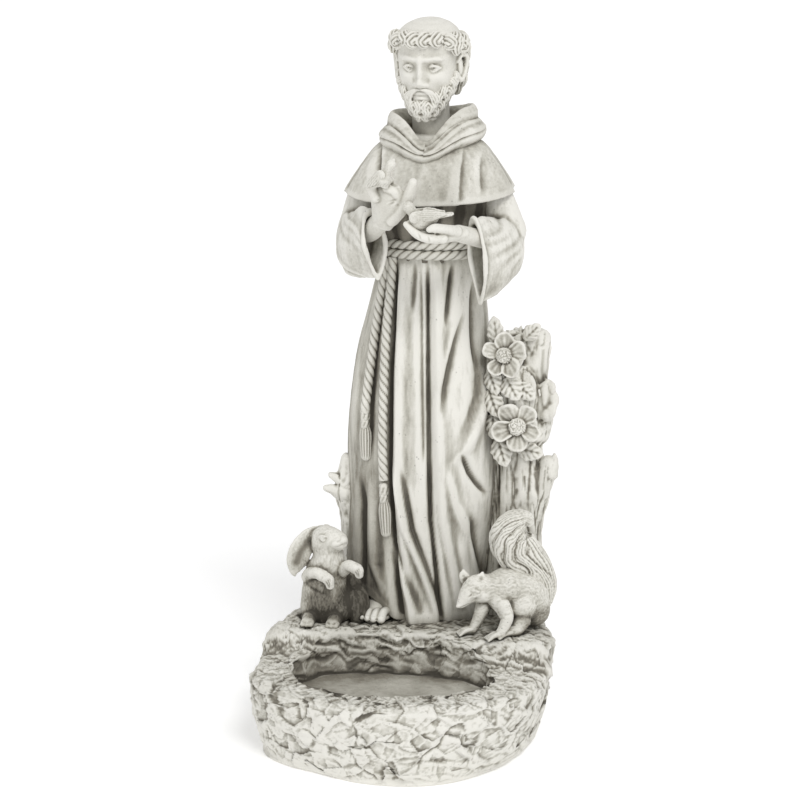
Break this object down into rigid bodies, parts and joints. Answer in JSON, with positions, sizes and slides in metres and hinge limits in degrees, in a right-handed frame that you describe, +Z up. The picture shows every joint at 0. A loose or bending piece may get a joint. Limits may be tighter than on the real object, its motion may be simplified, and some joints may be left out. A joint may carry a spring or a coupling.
{
  "type": "saint francis garden statue with bird basin",
  "caption": "Cast garden statue of a hooded friar holding two birds, with rabbit, squirrel and flowering stump, standing behind a rock basin that holds water for birds.",
  "frame": {"origin": "middle of the footprint's bounding box, on the ground", "axes": "+Z up, the figure faces -Y, the figure's raised right hand is at -X"},
  "size_m": [0.2983, 0.3305, 0.7211],
  "materials": {
    "cast_stone": "matt ivory cast stone, fine pits, warm grey-brown patina in the hollows"
  },
  "bodies": {
    "root": {"friar_statue": "cast_stone"}
  },
  "joints": []
}
